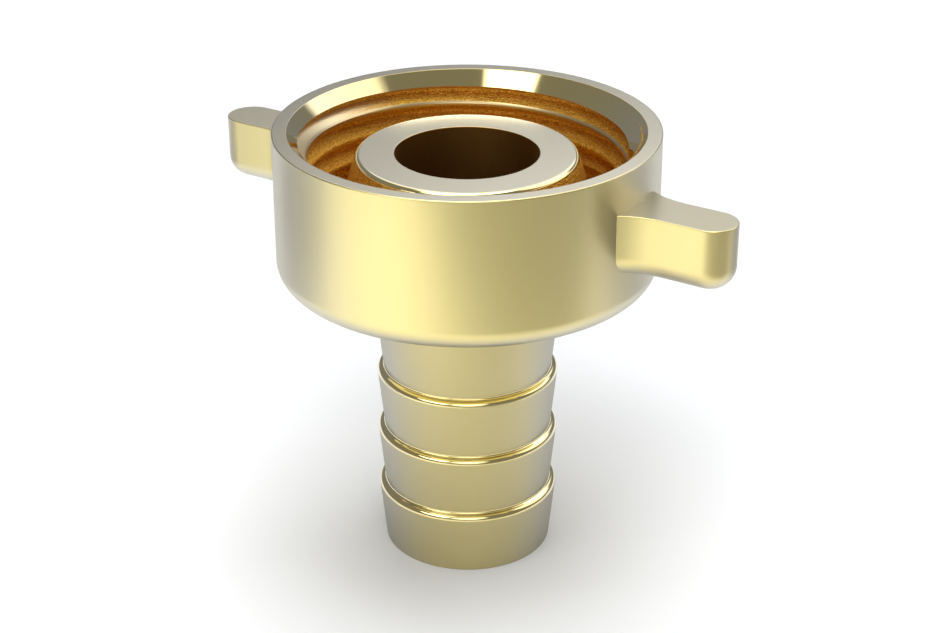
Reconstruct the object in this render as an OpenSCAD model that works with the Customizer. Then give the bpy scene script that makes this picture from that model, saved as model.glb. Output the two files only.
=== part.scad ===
// Wing nut hose coupling: a barbed hose tail and the wing nut that swivels on it.
// The coupling stands on the tail's end, with +Z along the bore and the wings along X.

/* [Overall] */
// Height from the tail's end up to the nut's rim
coupling_h = 35; // [35:0.1:36]

/* [Nut] */
// Outside diameter of the nut's round body
nut_d = 29.4; // [29:0.1:31]
// Height of the nut's round body
nut_h = 11.8; // [11.6:0.1:12.4]
// Rounding between the nut's side and its underside
nut_round = 1.7; // [0.8:0.1:2.2]
// Diameter across the crests of the internal thread
thread_crest_d = 24.2; // [24:0.1:24.6]
// Diameter of the lead-in chamfer where it meets the rim
mouth_d = 27.1; // [26.7:0.1:27.6]
// Thickness of the floor that draws the flange up
floor_t = 2.8; // [2.4:0.1:3]
// Diameter of the relief groove where the thread runs out
relief_d = 26.6; // [26.5:0.1:27]
// Height of the relief groove
relief_h = 1.8; // [1.4:0.1:2]
// Diameter of the hole in the floor
hole_d = 14.7; // [14.65:0.01:14.78]

/* [Thread] */
// Rise of the right-hand thread in one turn: 14 turns to the inch
thread_pitch = 1.814; // [1.8:0.001:1.83]
// Diameter over the roots of the thread
thread_root_d = 26.4; // [26.2:0.1:26.5]
// Width of the thread's groove where it opens between the crests
groove_w = 1.4; // [1.36:0.02:1.5]
// Angle between a flank of the groove and the plane across the axis
thread_flank = 27.5; // [25:0.5:30]
// Angle around the axis, from the wing, at which the groove comes in above the rim
thread_start = 265; // [0:5:355]

/* [Wings] */
// Distance over the tips of both wings
wing_span = 45; // [42:0.5:50]
// Thickness of each wing
wing_t = 3.9; // [3.6:0.1:4.4]
// Height of each wing
wing_h = 5; // [4:0.1:6]
// Drop from the nut's rim to the wings' flat top
wing_drop = 3; // [2:0.1:4]
// Rounding along the lower edges of the wings
wing_round = 1.7; // [1:0.1:1.8]
// Radius of the flare where each wing grows out of the nut
flare_r = 6.8; // [6:0.1:8]
// Distance from the axis to the start of the flare
flare_start = 17.7; // [17:0.1:18.2]

/* [Hose tail] */
// Length of the tail from its end to the sealing face
tail_h = 33; // [32.8:0.1:33.2]
// Diameter of the straight bore
bore_d = 11; // [9:0.1:11.4]
// Outside diameter of the flat sealing face
face_d = 16.3; // [15:0.1:16.8]
// Rounding around the sealing face
nose_round = 0.4; // [0.2:0.05:0.6]
// Angle between the nose's side and the axis
nose_angle = 16; // [8:1:20]
// Diameter of the flange that the nut pulls on
flange_d = 22.4; // [21.6:0.1:22.8]
// Thickness of the flange
flange_t = 1.9; // [1.6:0.1:2.4]
// Diameter of the neck that the nut turns on
neck_d = 14.6; // [14.5:0.01:14.62]
// Gap between the flange and the nut's floor
seat_gap = 0.1; // [0.05:0.05:0.2]

/* [Barbs] */
// Number of barbs
barb_count = 3; // [2:1:3]
// Distance from one barb to the next
barb_pitch = 5.05; // [4.8:0.05:5.2]
// Diameter over the barbs
barb_d = 14.26; // [14:0.02:14.4]
// Distance from the tail's end to the crest of the last barb
end_l = 4.75; // [4.4:0.05:5]
// Angle between a barb's taper and the axis
barb_angle = 6.05; // [5:0.05:7]
// Slope of the ledge on top of each barb
ledge_angle = 20; // [10:1:30]
// Rounding of each barb's crest
crest_round = 0.45; // [0.3:0.05:0.5]
// Rounding at the foot of each ledge
foot_round = 0.15; // [0.05:0.05:0.2]

/* [Hidden] */
$fn = 96;

BRASS_TAIL = [0.80, 0.73, 0.52];
BRASS_NUT = [0.86, 0.79, 0.55];

// Small break on machined edges that are out of sight
edge_break = 0.3;
// Steps in one rounded corner of an outline
arc_steps = 8;
// How far a cutting shape runs past the face it cuts
past = 1;
// Steps in one turn of the thread
thread_steps = 48;

nut_bottom = coupling_h - nut_h;
floor_top = nut_bottom + floor_t;
relief_top = floor_top + relief_h;
mouth_depth = (mouth_d - thread_crest_d) / 2;
groove_high = coupling_h + 0.9;
groove_low = relief_top - 0.1;

wing_top = coupling_h - wing_drop;
wing_bottom = wing_top - wing_h;
tip_centre = (wing_span - wing_t) / 2;
wing_root = (nut_d - wing_t) / 2;
flare_half_w = wing_t;

flange_bottom = floor_top + seat_gap;
flange_top = flange_bottom + flange_t;
side_drop = tail_h - nose_round * (1 - sin(nose_angle)) - flange_top;
nose_base_r = face_d / 2 + nose_round * cos(nose_angle) + side_drop * tan(nose_angle);

// Depth of a ledge, from the taper's foot out to the start of the crest's rounding
crest_centre_r = barb_d / 2 - crest_round;
taper_foot_r = barb_d / 2 - (barb_pitch - crest_round) * tan(barb_angle);
ledge_foot_h = crest_round * cos(ledge_angle)
    + (crest_centre_r + crest_round * sin(ledge_angle) - taper_foot_r) * tan(ledge_angle);

// Unit vector at an angle from the outward direction
function towards(angle) = [cos(angle), sin(angle)];

// Points of an arc from one angle to another
function arc(centre, r, from, to) =
    [for (i = [0:arc_steps]) centre + r * towards(from + (to - from) * i / arc_steps)];

// Centre of a rounding that touches two faces that meet at a corner, given which way they face
function inner_corner(corner, r, face_a, face_b) =
    corner + r * (towards(face_a) + towards(face_b)) / (1 + cos(face_a - face_b));

function crest_z(i) = end_l + i * barb_pitch;

// Outline of one barb from the foot of its ledge down to its taper
function barb_outline(z) =
    let (up = 90 - ledge_angle)
    concat(
        arc(inner_corner([taper_foot_r, z + ledge_foot_h], foot_round, -barb_angle, up),
            foot_round, 180 - barb_angle, 180 + up),
        arc([crest_centre_r, z], crest_round, up, -barb_angle)
    );

// Outline of the tail from its sealing face down to its end, outside first
function tail_outline() =
    let (
        flange_r = flange_d / 2,
        neck_r = neck_d / 2,
        top_foot_z = crest_z(barb_count - 1) + ledge_foot_h,
        taper_top_z = top_foot_z + (neck_r - taper_foot_r) / tan(barb_angle),
        end_r = crest_centre_r + crest_round * cos(barb_angle)
            - (end_l - crest_round * sin(barb_angle)) * tan(barb_angle)
    )
    concat(
        [[bore_d / 2, tail_h]],
        arc([face_d / 2, tail_h - nose_round], nose_round, 90, nose_angle),
        [
            [nose_base_r, flange_top],
            [flange_r - edge_break, flange_top],
            [flange_r, flange_top - edge_break],
            [flange_r, flange_bottom + edge_break],
            [flange_r - edge_break, flange_bottom],
            [neck_r, flange_bottom],
            [neck_r, taper_top_z]
        ],
        [for (i = [barb_count - 1:-1:0]) each barb_outline(crest_z(i))],
        [
            [end_r, 0],
            [bore_d / 2, 0]
        ]
    );

// One turned piece: nose with the sealing face, flange, neck and barbs around a straight bore
module hose_tail() {
    color(BRASS_TAIL)
        rotate_extrude()
            polygon(tail_outline());
}

// Round body of the nut, its lower edge rounded
module nut_body() {
    nut_r = nut_d / 2;
    rotate_extrude()
        polygon(concat(
            [[0, coupling_h], [0, nut_bottom]],
            arc([nut_r - nut_round, nut_bottom + nut_round], nut_round, -90, 0),
            [[nut_r, coupling_h]]
        ));
}

// Space inside the nut: floor hole, relief groove, thread bore and lead-in chamfer
module nut_space() {
    hole_r = hole_d / 2;
    relief_r = relief_d / 2;
    crest_r = thread_crest_d / 2;
    rotate_extrude()
        polygon([
            [0, nut_bottom - past],
            [hole_r + edge_break + past, nut_bottom - past],
            [hole_r, nut_bottom + edge_break],
            [hole_r, floor_top],
            [relief_r, floor_top],
            [relief_r, relief_top],
            [crest_r, relief_top + relief_r - crest_r],
            [crest_r, coupling_h - mouth_depth],
            [crest_r + mouth_depth + past, coupling_h + past],
            [0, coupling_h + past]
        ]);
}

// The four corners of the thread's groove where its middle is at a height, bore side first
function groove_corners(z) =
    let (
        inner_r = thread_crest_d / 2 - 0.2,
        root_r = thread_root_d / 2,
        inner_w = groove_w + 0.4 * tan(thread_flank),
        root_w = groove_w - (thread_root_d - thread_crest_d) * tan(thread_flank),
        turn = thread_start - 360 * (groove_high - z) / thread_pitch,
        out = [cos(turn), sin(turn)]
    )
    [
        [each inner_r * out, z - inner_w / 2],
        [each root_r * out, z - root_w / 2],
        [each root_r * out, z + root_w / 2],
        [each inner_r * out, z + inner_w / 2]
    ];

// Helical groove of the thread, from above the rim down into the relief
module thread_groove() {
    fall = groove_high - groove_low;
    steps = ceil(fall / thread_pitch * thread_steps);
    corners = [for (i = [0:steps]) each groove_corners(groove_high - fall * i / steps)];
    first_end = [0, 1, 2, 3];
    last_end = [for (k = [3:-1:0]) 4 * steps + k];
    sides = [
        for (i = [0:steps - 1], k = [0:3])
            let (a = 4 * i + k, b = 4 * i + (k + 1) % 4)
            each [[a, b + 4, b], [a, a + 4, b + 4]]
    ];
    polyhedron(corners, concat([first_end], sides, [last_end]));
}

// Cross-section of a wing: flat top with sharp edges, lower edges rounded
module wing_section() {
    translate([-wing_t / 2, wing_bottom + wing_round])
        square([wing_t, wing_h - wing_round]);
    translate([wing_round - wing_t / 2, wing_bottom])
        square([wing_t - 2 * wing_round, wing_h]);
    for (side = [-1, 1])
        translate([side * (wing_t / 2 - wing_round), wing_bottom + wing_round])
            circle(r = wing_round);
}

// Space beside a flare: it leaves the wing's side hollow-curved, with the lower edge still rounded
module flare_space() {
    rotate_extrude() {
        translate([0, wing_bottom - past])
            square([flare_r, wing_h + 2 * past]);
        difference() {
            translate([0, wing_bottom - past])
                square([flare_r + wing_round, wing_round + past]);
            translate([flare_r + wing_round, wing_bottom + wing_round])
                circle(r = wing_round);
        }
    }
}

// Wing along +X: a straight bar with a full round end and a flared root
module wing() {
    translate([wing_root, 0, 0])
        rotate([90, 0, 90])
            linear_extrude(tip_centre - wing_root)
                wing_section();
    translate([tip_centre, 0, 0])
        rotate_extrude()
            intersection() {
                wing_section();
                translate([0, wing_bottom])
                    square([wing_t, wing_h]);
            }
    difference() {
        translate([wing_root, -flare_half_w, wing_bottom])
            cube([flare_start - wing_root, 2 * flare_half_w, wing_h]);
        for (side = [-1, 1])
            translate([flare_start, side * (wing_t / 2 + flare_r), 0])
                flare_space();
    }
}

// One forged and turned piece: round body, two wings and the threaded inside
module wing_nut() {
    color(BRASS_NUT)
        difference() {
            union() {
                nut_body();
                wing();
                rotate([0, 0, 180])
                    wing();
            }
            nut_space();
            thread_groove();
        }
}

hose_tail();
wing_nut();
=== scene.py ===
import math

import bmesh
import bpy
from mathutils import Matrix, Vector


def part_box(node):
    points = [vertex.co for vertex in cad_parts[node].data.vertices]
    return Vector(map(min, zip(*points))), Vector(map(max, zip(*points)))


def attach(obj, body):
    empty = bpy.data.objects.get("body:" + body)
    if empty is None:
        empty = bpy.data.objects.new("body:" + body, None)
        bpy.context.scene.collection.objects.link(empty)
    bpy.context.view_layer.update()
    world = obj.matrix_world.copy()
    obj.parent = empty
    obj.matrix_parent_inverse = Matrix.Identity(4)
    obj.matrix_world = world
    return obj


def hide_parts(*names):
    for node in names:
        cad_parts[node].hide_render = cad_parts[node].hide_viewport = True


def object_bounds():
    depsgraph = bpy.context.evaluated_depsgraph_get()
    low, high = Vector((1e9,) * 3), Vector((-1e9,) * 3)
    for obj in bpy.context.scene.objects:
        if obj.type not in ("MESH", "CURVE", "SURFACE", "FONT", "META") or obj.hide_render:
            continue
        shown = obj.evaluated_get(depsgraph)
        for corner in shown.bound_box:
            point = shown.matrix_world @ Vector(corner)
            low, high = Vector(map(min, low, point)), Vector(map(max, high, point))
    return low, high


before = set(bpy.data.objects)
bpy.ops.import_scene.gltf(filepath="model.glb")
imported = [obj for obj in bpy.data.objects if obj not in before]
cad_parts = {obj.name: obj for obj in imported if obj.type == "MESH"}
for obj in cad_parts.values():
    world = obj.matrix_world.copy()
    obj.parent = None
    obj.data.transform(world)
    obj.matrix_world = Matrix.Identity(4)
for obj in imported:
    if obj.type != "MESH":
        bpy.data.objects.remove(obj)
cad_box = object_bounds()

MM = 0.001

# The photograph's camera, in millimetres and degrees, which looks down on the coupling, turned from the wings
VIEW_TURN = 32.29
CAMERA_RIGHT, CAMERA_BACK, CAMERA_UP = 0.596, 141.39, 87.44
CAMERA_PITCH = 25.7606
CAMERA_LENS, CAMERA_SENSOR = 75.82, 36.0

# Heights and widths of the coupling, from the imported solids
COUPLING_H = cad_box[1][2] / MM
tail_low, tail_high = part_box("hose_tail")
nut_low, nut_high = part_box("wing_nut")
TAIL_H = tail_high.z / MM
FLANGE_R = tail_high.x / MM
NUT_R = nut_high.y / MM
NUT_BOTTOM = nut_low.z / MM
WING_REACH = nut_high.x / MM

# Nut, in millimetres
NUT_ROUND = 1.7
CREST_R = 12.1
MOUTH_R = 13.55
FLOOR_T = 2.8
RELIEF_R, RELIEF_H = 13.3, 1.8
HOLE_R = 7.35
RIM_BREAK = 0.1
HIDDEN_BREAK = 0.3

# Internal thread: a right-hand helical groove, whose cutter reaches from inside the bore into its root
THREAD_PITCH = 1.814
THREAD_ROOT_R = 13.2
THREAD_FLANK = 27.5
THREAD_STEPS = 144
GROOVE_W = 1.4
GROOVE_RISE = 0.9
GROOVE_DROP = 0.1
GROOVE_START = 265
CREST_BREAK = 0.12
CUTTER_INSIDE = 0.3
CUTTER_GAP = 0.001

# Wings
WING_T = 3.9
WING_H = 5.0
WING_DROP = 3.0
WING_ROUND = 1.7
FLARE_R = 6.8
FLARE_START = 17.7
WING_ROOT = 13.9
TOP_BREAK = 0.08
LOWER_STEPS, TOP_STEPS = 12, 4

# Hose tail
BORE_R = 5.5
FACE_R = 8.15
NOSE_ROUND = 0.4
NOSE_ANGLE = 16.0
FLANGE_T = 1.9
SEAT_GAP = 0.1
NECK_R = 7.3
BARB_COUNT = 3
BARB_PITCH = 5.05
BARB_R = 7.13
END_L = 4.75
BARB_ANGLE = 6.05
LEDGE_ANGLE = 20.0
BARB_ROUND = 0.45
FOOT_ROUND = 0.15
EDGE_BREAK = 0.05

# Fineness of the turned surfaces
LATHE_STEPS = 288
ARC_STEPS = 8
BRACE = 0.03
SHARP_ANGLE = math.radians(32)

# Which faces get which finish: how far a flat or a sloping face looks up, and how near it lies to an edge
FLAT, SLOPE_LOW, SLOPE_HIGH, LEDGE = 0.98, 0.6, 0.8, 0.05
RIM_BAND, FACE_BAND, BORE_BAND = 0.15, 0.2, 0.04
INNER_WALL, INNER_FLOOR = 0.5, 1.0
RIDGE_UP, FLANK_UP = -0.2, 0.3
FIRST_TURN = 2.9

# The pale gloss of brass seen edge on: its tint, and how edge on it starts and is full
EDGE_TINT = (1.0, 0.985, 0.935)
EDGE_START, EDGE_FULL = 0.1, 0.75

# The grain of the brass per metre, its relief in the thread in millimetres, and the thread's colours
GRAIN_SCALE = 7000
GRAIN_DEPTH = 0.15
GRAIN_LOW, GRAIN_HIGH = 0.35, 0.65
THREAD_LIGHT = (1.0, 0.64, 0.11)
THREAD_DARK = (0.60, 0.27, 0.03)
# The pale colour of the first flank towards one side is a painted reflection
THREAD_PAINTED_REFLECTION = (0.80, 0.68, 0.44)

# The side towards which the thread's first flank is painted pale, a painted reflection,
# and where this painted reflection starts and is full, in millimetres
REFLECTION_TURN, REFLECTION_START, REFLECTION_END = 185, 4, 11

# Round soft lights in the world, their directions counted in the photograph's view:
# azimuth, elevation, radius of the full light and radius where it ends, in degrees, and brightness
WORLD_BASE = 0.21
WORLD_LIGHTS = [
    (-142, 66, 10, 13, 2.6),
    (24, 41, 18, 27, 1.3),
    (-88, 38, 10, 24, 1.9),
    (79, 46.5, 22.5, 28.5, 1.0),
    (90, 80, 14, 24, 3.6),
    (-100, 16, 14, 36, 0.2),
]

# The floor, in millimetres and counted in the photograph's view
FLOOR_HALF = 3000
FLOOR_WHITE = (0.955, 0.967, 0.99)
# The grey of the floor's painted shade
FLOOR_PAINTED_SHADE = (0.39, 0.395, 0.405)
FLOOR_ROUGHNESS, FLOOR_GLOSS = 0.6, 0.2

# Its round soft painted shades, the last a painted shadow under the coupling: to the right, away, radius of
# the full shade, radius where it ends, and depth
FLOOR_PAINTED_SPOTS = [
    (-94, 26, 24, 54, 0.85),
    (96, 18, 26, 56, 0.9),
    # A painted shadow under the coupling
    (0, 11, 8, 28, 0.34),
]

# Its painted shade towards the camera: where it starts and is full towards the camera, and along its own
# azimuth
FRONT_START, FRONT_END = 14, 38
FRONT_TURN, FRONT_NEAR, FRONT_FAR = -45, 24, 68

# A small lamp over the floor in front on the left
POOL_RIGHT, POOL_AWAY, POOL_UP, POOL_SIZE = -57, -60, 60, 50
POOL_BRIGHTNESS = 3.2


def photo_side(right, away, up):
    """A place counted in millimetres as the photograph's view sees it: to the right, away from it and up."""
    turn = math.radians(VIEW_TURN)
    x = right * math.cos(turn) - away * math.sin(turn)
    y = right * math.sin(turn) + away * math.cos(turn)
    return Vector((x, y, up)) * MM


def make_camera():
    data = bpy.data.cameras.new("photo_camera")
    data.lens = CAMERA_LENS
    data.sensor_width = CAMERA_SENSOR
    data.clip_start = 0.001
    camera = bpy.data.objects.new("photo_camera", data)
    camera.location = photo_side(CAMERA_RIGHT, -CAMERA_BACK, CAMERA_UP)
    camera.rotation_euler = (math.radians(90 - CAMERA_PITCH), 0, math.radians(VIEW_TURN))
    bpy.context.collection.objects.link(camera)
    bpy.context.scene.camera = camera


# Outlines

def towards(angle):
    return Vector((math.cos(math.radians(angle)), math.sin(math.radians(angle))))


def arc(centre, r, start, end, steps=ARC_STEPS):
    return [Vector(centre) + r * towards(start + (end - start) * i / steps) for i in range(steps + 1)]


def corner(before, at, after, r, steps=4):
    """A small round in place of the corner at, tangent to the lines from before and to after."""
    at = Vector(at)
    a = (Vector(before) - at).normalized()
    b = (Vector(after) - at).normalized()
    half = a.angle(b) / 2
    centre = at + (a + b).normalized() * r / math.sin(half)
    first = at + a * r / math.tan(half) - centre
    last = at + b * r / math.tan(half) - centre
    turn = first.angle_signed(last)
    points = []
    for i in range(steps + 1):
        spin = -turn * i / steps
        c, s = math.cos(spin), math.sin(spin)
        points.append(centre + Vector((first.x * c - first.y * s, first.x * s + first.y * c)))
    return points


def braced(outline, closed=True):
    """The outline with points close to the ends of its long lines, which keep flat faces flat in shading."""
    points = []
    count = len(outline)
    for i, p in enumerate(outline):
        points.append(p)
        if i == count - 1 and not closed:
            break
        q = outline[(i + 1) % count]
        if (q - p).length > 8 * BRACE:
            step = (q - p).normalized() * BRACE
            points += [p + step, q - step]
    return points


def rounded(points, rounds):
    """The closed outline with a small round at each corner whose radius is above nought."""
    result = []
    count = len(points)
    for i, (p, r) in enumerate(zip(points, rounds)):
        if r > 0:
            result += corner(points[i - 1], p, points[(i + 1) % count], r)
        else:
            result.append(Vector(p))
    return result


# Solids

def lathe(name, outline, steps=LATHE_STEPS):
    """A closed turned mesh from a closed outline of (radius, height) points in millimetres."""
    outline = braced(outline)
    count = len(outline)
    verts = []
    for j in range(steps):
        a = 2 * math.pi * j / steps
        verts += [(p.x * math.cos(a) * MM, p.x * math.sin(a) * MM, p.y * MM) for p in outline]
    faces = []
    for j in range(steps):
        k = (j + 1) % steps
        for i in range(count):
            n = (i + 1) % count
            faces.append((j * count + i, k * count + i, k * count + n, j * count + n))
    return new_mesh(name, verts, faces)


def new_mesh(name, verts, faces):
    mesh = bpy.data.meshes.new(name)
    mesh.from_pydata(verts, [], faces)
    bm = bmesh.new()
    bm.from_mesh(mesh)
    bmesh.ops.recalc_face_normals(bm, faces=bm.faces)
    bm.to_mesh(mesh)
    bm.free()
    piece = bpy.data.objects.new(name, mesh)
    bpy.context.collection.objects.link(piece)
    return piece


def combine(piece, tool, operation):
    """Joins tool to piece, or cuts it away, and deletes tool."""
    modifier = piece.modifiers.new("combine", "BOOLEAN")
    modifier.object = tool
    modifier.operation = operation
    modifier.solver = "EXACT"
    bpy.context.view_layer.update()
    result = piece.evaluated_get(bpy.context.evaluated_depsgraph_get())
    mesh = bpy.data.meshes.new_from_object(result)
    piece.modifiers.clear()
    old = piece.data
    piece.data = mesh
    bpy.data.meshes.remove(old)
    bpy.data.objects.remove(tool)


def shade(piece):
    piece.data.shade_smooth()
    piece.data.set_sharp_from_angle(angle=SHARP_ANGLE)


def barb_outline(crest):
    """Points of one barb, from the foot of its ledge over the crest to its taper."""
    centre_r = BARB_R - BARB_ROUND
    foot_r = BARB_R - (BARB_PITCH - BARB_ROUND) * math.tan(math.radians(BARB_ANGLE))
    ledge = math.radians(LEDGE_ANGLE)
    top_r = centre_r + BARB_ROUND * math.sin(ledge)
    foot_z = crest + BARB_ROUND * math.cos(ledge) + (top_r - foot_r) * math.tan(ledge)
    below = Vector((top_r, crest + BARB_ROUND * math.cos(ledge)))
    above = Vector((foot_r + math.tan(math.radians(BARB_ANGLE)), foot_z + 1))
    foot = corner(above, (foot_r, foot_z), below, FOOT_ROUND)
    return foot + arc((centre_r, crest), BARB_ROUND, 90 - LEDGE_ANGLE, -BARB_ANGLE)


def tail_outline():
    flange_bottom = NUT_BOTTOM + FLOOR_T + SEAT_GAP
    flange_top = flange_bottom + FLANGE_T
    slope = math.tan(math.radians(NOSE_ANGLE))
    side_r = FACE_R + NOSE_ROUND * math.cos(math.radians(NOSE_ANGLE))
    side_z = TAIL_H - NOSE_ROUND * (1 - math.sin(math.radians(NOSE_ANGLE)))
    base_r = side_r + (side_z - flange_top) * slope
    barbs = [barb_outline(END_L + i * BARB_PITCH) for i in reversed(range(BARB_COUNT))]
    taper = math.tan(math.radians(BARB_ANGLE))
    neck_z = barbs[0][0].y + (NECK_R - barbs[0][0].x) / taper
    last = barbs[-1][-1]
    end_r = last.x - last.y * taper
    bore_top, bore_end = (BORE_R, TAIL_H), (BORE_R, 0)
    nose = arc((FACE_R, TAIL_H - NOSE_ROUND), NOSE_ROUND, 90, NOSE_ANGLE)
    b = HIDDEN_BREAK
    flange = [
        (base_r, flange_top),
        (FLANGE_R - b, flange_top),
        (FLANGE_R, flange_top - b),
        (FLANGE_R, flange_bottom + b),
        (FLANGE_R - b, flange_bottom),
        (NECK_R, flange_bottom),
        (NECK_R, neck_z),
    ]
    outline = corner(bore_end, bore_top, nose[0], EDGE_BREAK) + nose
    outline += [Vector(p) for p in flange]
    for barb in barbs:
        outline += barb
    outline += corner(last, (end_r, 0), bore_end, EDGE_BREAK)
    outline += corner((end_r, 0), bore_end, bore_top, EDGE_BREAK)
    return outline


def nut_outline():
    b = HIDDEN_BREAK
    floor_top = NUT_BOTTOM + FLOOR_T
    relief_top = floor_top + RELIEF_H
    inner = [
        (NUT_R, COUPLING_H),
        (MOUTH_R, COUPLING_H),
        (CREST_R, COUPLING_H - (MOUTH_R - CREST_R)),
        (CREST_R, relief_top + RELIEF_R - CREST_R),
        (RELIEF_R, relief_top),
        (RELIEF_R, floor_top),
        (HOLE_R, floor_top),
        (HOLE_R, NUT_BOTTOM + b),
        (HOLE_R + b, NUT_BOTTOM),
        (NUT_R - NUT_ROUND, NUT_BOTTOM),
    ]
    rounds = [RIM_BREAK, EDGE_BREAK] + [0] * 8
    inner = rounded(inner, rounds)
    lower_round = arc((NUT_R - NUT_ROUND, NUT_BOTTOM + NUT_ROUND), NUT_ROUND, -90, 0, 2 * ARC_STEPS)
    return inner + lower_round[1:]


def groove_section():
    """The groove as (radius, height from its middle), from inside the bore round its root and back."""
    flank = math.tan(math.radians(THREAD_FLANK))
    root = GROOVE_W / 2 - (THREAD_ROOT_R - CREST_R) * flank
    lead = GROOVE_W / 2 + CREST_BREAK
    lower = [
        (CREST_R - CUTTER_INSIDE, -lead),
        (CREST_R - CUTTER_GAP, -lead),
        (CREST_R + CREST_BREAK, CREST_BREAK * flank - GROOVE_W / 2),
        (THREAD_ROOT_R, -root),
    ]
    return [Vector(p) for p in lower] + [Vector((r, -z)) for r, z in reversed(lower)]


def thread_cutter():
    """The helical groove as a solid, from above the rim down into the relief."""
    section = groove_section()
    count = len(section)
    high = COUPLING_H + GROOVE_RISE
    low = NUT_BOTTOM + FLOOR_T + RELIEF_H - GROOVE_DROP
    steps = math.ceil((high - low) / THREAD_PITCH * THREAD_STEPS)
    verts = []
    for j in range(steps + 1):
        z = high - (high - low) * j / steps
        a = math.radians(GROOVE_START) - 2 * math.pi * (high - z) / THREAD_PITCH
        verts += [(p.x * math.cos(a) * MM, p.x * math.sin(a) * MM, (z + p.y) * MM) for p in section]
    faces = [tuple(range(count)), tuple(steps * count + i for i in reversed(range(count)))]
    for j in range(steps):
        for i in range(count):
            n = (i + 1) % count
            faces.append((j * count + i, (j + 1) * count + i, (j + 1) * count + n, j * count + n))
    return new_mesh("thread_cutter", verts, faces)


def wing_plan(inset):
    """The wing's outline from above, pulled in by inset, from one root corner round the tip to the other."""
    half = WING_T / 2
    centre = Vector((FLARE_START, half + FLARE_R))
    r = FLARE_R + inset
    root_angle = -90 - math.degrees(math.asin((FLARE_START - WING_ROOT) / r))
    flare = arc(centre, r, root_angle, -90, 16)
    tip = arc((WING_REACH - half, 0), half - inset, 90, 0, 12)
    side = flare + tip
    other = [Vector((p.x, -p.y)) for p in reversed(side[:-1])]
    return side + other


def wing(turn):
    """One wing, its lower edges rounded and its top edge barely broken, turned about the axis."""
    top = COUPLING_H - WING_DROP
    bottom = top - WING_H
    levels = []
    for i in range(LOWER_STEPS + 1):
        a = math.radians(90 * i / LOWER_STEPS)
        levels.append((bottom + WING_ROUND * (1 - math.cos(a)), WING_ROUND * (1 - math.sin(a))))
    levels += [(bottom + WING_ROUND + BRACE, 0), (top - TOP_BREAK - BRACE, 0)]
    for i in range(TOP_STEPS + 1):
        a = math.radians(90 * i / TOP_STEPS)
        levels.append((top - TOP_BREAK * (1 - math.sin(a)), TOP_BREAK * (1 - math.cos(a))))
    levels.append((top, TOP_BREAK + BRACE))
    levels.insert(0, (bottom, WING_ROUND + BRACE))
    c, s = math.cos(turn), math.sin(turn)
    verts = []
    for z, inset in levels:
        for p in wing_plan(inset):
            verts.append(((p.x * c - p.y * s) * MM, (p.x * s + p.y * c) * MM, z * MM))
    count = len(verts) // len(levels)
    faces = [tuple(reversed(range(count))), tuple(len(verts) - count + i for i in range(count))]
    for j in range(len(levels) - 1):
        for i in range(count):
            n = (i + 1) % count
            faces.append((j * count + i, j * count + n, (j + 1) * count + n, (j + 1) * count + i))
    return new_mesh("wing", verts, faces)


# Shader nodes

def node_in(tree, kind, **values):
    """A new node, with the values of its named inputs."""
    node = tree.nodes.new(kind)
    for name, value in values.items():
        node.inputs[name].default_value = value
    return node


def math_node(tree, operation, first, second):
    node = tree.nodes.new("ShaderNodeMath")
    node.operation = operation
    for socket, value in zip(node.inputs, (first, second)):
        if isinstance(value, (int, float)):
            socket.default_value = value
        else:
            tree.links.new(value, socket)
    return node.outputs[0]


def colour_mix(tree, factor, first, second):
    """The colour between first and second, each a colour or another node's output."""
    node = tree.nodes.new("ShaderNodeMix")
    node.data_type = "RGBA"
    for name, colour in (("A", first), ("B", second)):
        if isinstance(colour, tuple):
            node.inputs[name].default_value = (*colour, 1)
        else:
            tree.links.new(colour, node.inputs[name])
    tree.links.new(factor, node.inputs["Factor"])
    return node.outputs["Result"]


def along(tree, place, way):
    """How far a place lies along a direction."""
    node = tree.nodes.new("ShaderNodeVectorMath")
    node.operation = "DOT_PRODUCT"
    node.inputs[1].default_value = way
    tree.links.new(place, node.inputs[0])
    return node.outputs["Value"]


def ramp(tree, value, start, end, first, last, kind="SMOOTHSTEP"):
    """A number that goes from first to last while the value goes from start to end."""
    node = tree.nodes.new("ShaderNodeMapRange")
    node.interpolation_type = kind
    for name, number in (("From Min", start), ("From Max", end), ("To Min", first), ("To Max", last)):
        node.inputs[name].default_value = number
    tree.links.new(value, node.inputs["Value"])
    return node.outputs["Result"]


def noise(tree, detail):
    """Fine procedural grain."""
    texture = node_in(tree, "ShaderNodeTexNoise", Scale=GRAIN_SCALE, Detail=detail)
    tree.links.new(tree.nodes.new("ShaderNodeTexCoord").outputs["Object"], texture.inputs["Vector"])
    return texture.outputs["Fac"]


def bump(tree, shader, value, height):
    """Relief in a shader's surface, its height in millimetres."""
    node = node_in(tree, "ShaderNodeBump", Strength=1, Distance=height * MM)
    tree.links.new(value, node.inputs["Height"])
    tree.links.new(node.outputs["Normal"], shader.inputs["Normal"])


def direction(azimuth, elevation):
    """A direction from the coupling, its azimuth counted from the photograph's right, both in degrees."""
    a, e = math.radians(azimuth + VIEW_TURN), math.radians(elevation)
    return Vector((math.cos(a) * math.cos(e), math.sin(a) * math.cos(e), math.sin(e)))


# Materials

def principled(name, colour, roughness):
    material = bpy.data.materials.new(name)
    material.use_nodes = True
    shader = material.node_tree.nodes["Principled BSDF"]
    shader.inputs["Base Color"].default_value = (*colour, 1)
    shader.inputs["Metallic"].default_value = 1
    shader.inputs["Roughness"].default_value = roughness
    return material, shader


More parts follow.
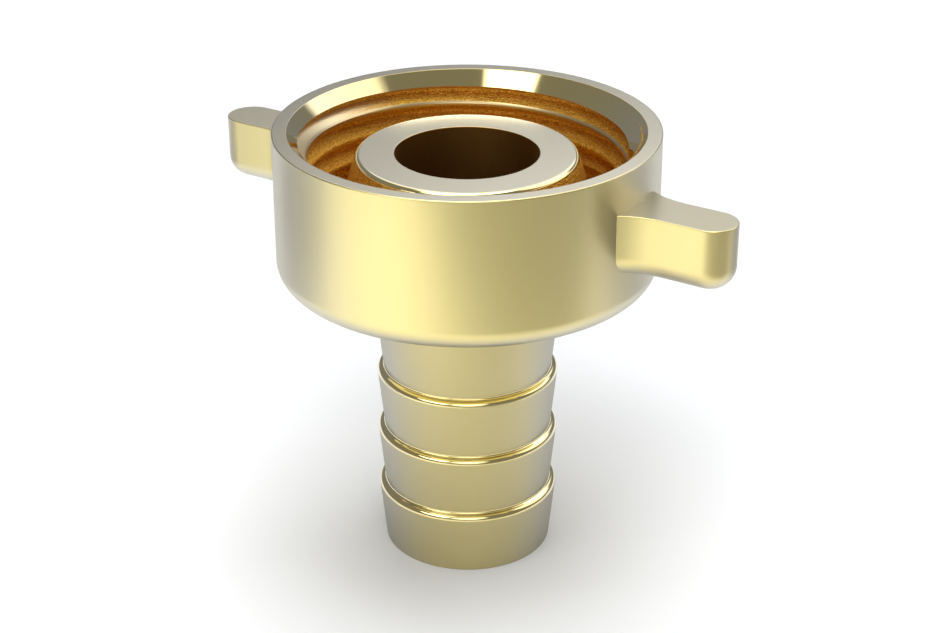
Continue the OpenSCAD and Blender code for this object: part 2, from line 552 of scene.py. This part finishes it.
def brass(name, colour, low, high, edge=0.0, level=0.0):
    """Bare brass with finely varied gloss, which pales by edge to the given level where seen edge on."""
    middle = (low + high) / 2
    material, shader = principled(name, colour, middle)
    tree = material.node_tree
    varied = ramp(tree, noise(tree, 2), 0, 1, low, high, "LINEAR")
    tree.links.new(varied, shader.inputs["Roughness"])
    if edge:
        tint = [level * part for part in EDGE_TINT]
        gloss = node_in(tree, "ShaderNodeBsdfGlossy", Color=(*tint, 1), Roughness=middle)
        facing = tree.nodes.new("ShaderNodeLayerWeight").outputs["Facing"]
        mix = tree.nodes.new("ShaderNodeMixShader")
        tree.links.new(ramp(tree, facing, EDGE_START, EDGE_FULL, 0, edge), mix.inputs["Fac"])
        tree.links.new(shader.outputs["BSDF"], mix.inputs[1])
        tree.links.new(gloss.outputs["BSDF"], mix.inputs[2])
        tree.links.new(mix.outputs["Shader"], tree.nodes["Material Output"].inputs["Surface"])
    return material, shader


def satin_brass():
    return brass("satin_brass", (0.85, 0.72, 0.305), low=0.29, high=0.34, edge=0.8, level=0.57)[0]


def turned_brass_painted_shade():
    """Brass from the lathe, whose fine rings spread its gloss up and down, with a base colour darkened as
    painted shade.
    """
    # Its base colour and edge level, darker than the nut's brass, are painted shade
    material, shader = brass("turned_brass_painted_shade", (0.60, 0.515, 0.24), low=0.29, high=0.33, edge=0.8, level=0.44)
    shader.inputs["Anisotropic"].default_value = 0.6
    shader.inputs["Anisotropic Rotation"].default_value = 0.25
    tangent = material.node_tree.nodes.new("ShaderNodeTangent")
    tangent.direction_type = "RADIAL"
    tangent.axis = "Z"
    material.node_tree.links.new(tangent.outputs["Tangent"], shader.inputs["Tangent"])
    return material


def faced_brass():
    return brass("faced_brass", (0.90, 0.76, 0.33), low=0.15, high=0.23, edge=0.8, level=0.84)[0]


def polished_brass():
    return brass("polished_brass", (0.93, 0.78, 0.36), low=0.05, high=0.09, edge=0.5, level=0.88)[0]


def crest_brass():
    return brass("crest_brass", (0.76, 0.60, 0.30), low=0.29, high=0.34, edge=0.7, level=0.55)[0]


def bore_brass():
    return brass("bore_brass", (0.50, 0.30, 0.09), low=0.3, high=0.4)[0]


def thread_brass(name, low, high, painted_reflection=False):
    """Rough dark brass, grained in colour and relief; with a painted reflection, it turns smooth and pale
    towards one side.
    """
    material, shader = brass(name, THREAD_LIGHT, low, high)
    tree = material.node_tree
    relief = grain = noise(tree, 3)
    light = ramp(tree, grain, GRAIN_LOW, GRAIN_HIGH, 0, 1, "LINEAR")
    colour = colour_mix(tree, light, THREAD_DARK, THREAD_LIGHT)
    # Painted reflection: the flank's colour turns pale, and its relief smooth, towards one side
    if painted_reflection:
        place = tree.nodes.new("ShaderNodeTexCoord").outputs["Object"]
        aside = along(tree, place, direction(REFLECTION_TURN, 0))
        reflection_mask = ramp(tree, aside, REFLECTION_START * MM, REFLECTION_END * MM, 0, 1)
        colour = colour_mix(tree, reflection_mask, colour, THREAD_PAINTED_REFLECTION)
        relief = math_node(tree, "MULTIPLY", grain, math_node(tree, "SUBTRACT", 1, reflection_mask))
    bump(tree, shader, relief, GRAIN_DEPTH)
    tree.links.new(colour, shader.inputs["Base Color"])
    return material


def paint(piece, finishes, choose):
    """Gives piece its finishes, and each face the one that choose names for the face's place and normal."""
    names = list(finishes)
    piece.data.materials.clear()
    for name in names:
        piece.data.materials.append(finishes[name])
    for face in piece.data.polygons:
        c = face.center / MM
        n = face.normal
        out = n.x * c.x + n.y * c.y
        face.material_index = names.index(choose(math.hypot(c.x, c.y), c.z, n, out))


def tail_finish(r, z, n, out):
    """The finish of a face of the tail from its radius, height, normal and whether it looks outwards."""
    if r < BORE_R + BORE_BAND and out < 0:
        return "bore"
    if n.z > FLAT and z > TAIL_H - FACE_BAND:
        return "faced"
    if z > TAIL_H - NOSE_ROUND:
        return "polished"
    if z > NUT_BOTTOM + FLOOR_T:
        return "thread"
    if z < END_L + BARB_COUNT * BARB_PITCH and n.z > LEDGE:
        return "polished"
    return "turned"


def nut_finish(r, z, n, out):
    """The finish of a face of the nut from its radius, height, normal and whether it looks outwards."""
    if n.z > FLAT and z > COUPLING_H - RIM_BAND:
        return "faced"
    if out < 0 and z > COUPLING_H - (MOUTH_R - CREST_R) and SLOPE_LOW < n.z < SLOPE_HIGH:
        return "polished"
    if out < 0 and z > COUPLING_H - FIRST_TURN:
        if r < CREST_R + CREST_BREAK and n.z > RIDGE_UP:
            return "crest"
        if n.z > FLANK_UP:
            return "flank"
    if r < NUT_R - INNER_WALL and z > NUT_BOTTOM + INNER_FLOOR:
        return "thread"
    return "satin"


def make_tail(finishes):
    piece = lathe("turned_hose_tail", tail_outline())
    paint(piece, finishes, tail_finish)
    shade(piece)
    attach(piece, "tail")
    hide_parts("hose_tail")


def make_nut(finishes):
    piece = lathe("threaded_wing_nut", nut_outline())
    combine(piece, thread_cutter(), "DIFFERENCE")
    for turn in (0, math.pi):
        combine(piece, wing(turn), "UNION")
    paint(piece, finishes, nut_finish)
    shade(piece)
    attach(piece, "nut")
    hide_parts("wing_nut")


# Studio

def make_floor():
    """A pale floor, white round the coupling and behind it, with painted shade at its sides and towards the
    camera and a painted shadow under the coupling.
    """
    size = FLOOR_HALF * MM
    corners = [(-size, -size, 0), (size, -size, 0), (size, size, 0), (-size, size, 0)]
    floor = new_mesh("floor", corners, [(0, 1, 2, 3)])
    material, shader = principled("pale_floor", FLOOR_WHITE, FLOOR_ROUGHNESS)
    shader.inputs["Metallic"].default_value = 0
    shader.inputs["Specular IOR Level"].default_value = FLOOR_GLOSS
    tree = material.node_tree
    place = tree.nodes.new("ShaderNodeTexCoord").outputs["Object"]
    near = along(tree, place, direction(-90, 0))
    aside = along(tree, place, direction(FRONT_TURN, 0))
    front = ramp(tree, near, FRONT_START * MM, FRONT_END * MM, 0, 1)
    dark = math_node(tree, "MULTIPLY", front, ramp(tree, aside, FRONT_NEAR * MM, FRONT_FAR * MM, 0, 1))
    # Painted shade and a painted shadow, laid into the floor's colour
    for right, away, inner, outer, depth in FLOOR_PAINTED_SPOTS:
        gap = tree.nodes.new("ShaderNodeVectorMath")
        gap.operation = "DISTANCE"
        gap.inputs[1].default_value = photo_side(right, away, 0)
        tree.links.new(place, gap.inputs[0])
        spot = ramp(tree, gap.outputs["Value"], inner * MM, outer * MM, depth, 0)
        dark = math_node(tree, "MAXIMUM", dark, spot)
    tree.links.new(colour_mix(tree, dark, FLOOR_WHITE, FLOOR_PAINTED_SHADE), shader.inputs["Base Color"])
    floor.data.materials.append(material)


def pool_light():
    """A small area light that brightens the floor in front of the coupling on the left."""
    data = bpy.data.lights.new("pool", "AREA")
    data.size = POOL_SIZE * MM
    data.energy = POOL_BRIGHTNESS * math.pi * data.size ** 2
    light = bpy.data.objects.new("pool", data)
    light.location = photo_side(POOL_RIGHT, POOL_AWAY, POOL_UP)
    light.visible_camera = False
    bpy.context.collection.objects.link(light)


def make_world():
    """A soft studio: dim all round, with round soft lights given by direction, size and brightness."""
    world = bpy.data.worlds.new("studio")
    bpy.context.scene.world = world
    world.use_nodes = True
    tree = world.node_tree
    place = tree.nodes.new("ShaderNodeTexCoord").outputs["Generated"]
    total = WORLD_BASE
    for azimuth, elevation, inner, outer, brightness in WORLD_LIGHTS:
        near = along(tree, place, direction(azimuth, elevation))
        inside, outside = math.cos(math.radians(inner)), math.cos(math.radians(outer))
        total = math_node(tree, "ADD", ramp(tree, near, outside, inside, 0, brightness), total)
    background = tree.nodes["Background"]
    background.inputs["Color"].default_value = (1, 1, 1, 1)
    tree.links.new(total, background.inputs["Strength"])


make_camera()
make_floor()
make_world()
pool_light()

bpy.context.scene.view_settings.view_transform = "Standard"

tail_finishes = {
    "turned": turned_brass_painted_shade(),
    "polished": polished_brass(),
    "faced": faced_brass(),
    "thread": thread_brass("thread_brass", 0.40, 0.50),
    "bore": bore_brass(),
}
nut_finishes = {
    "satin": satin_brass(),
    "polished": tail_finishes["polished"],
    "faced": tail_finishes["faced"],
    "thread": tail_finishes["thread"],
    "crest": crest_brass(),
    # The first flank, with its painted reflection towards one side
    "flank": thread_brass("flank_brass", 0.32, 0.42, painted_reflection=True),
}
make_tail(tail_finishes)
make_nut(nut_finishes)
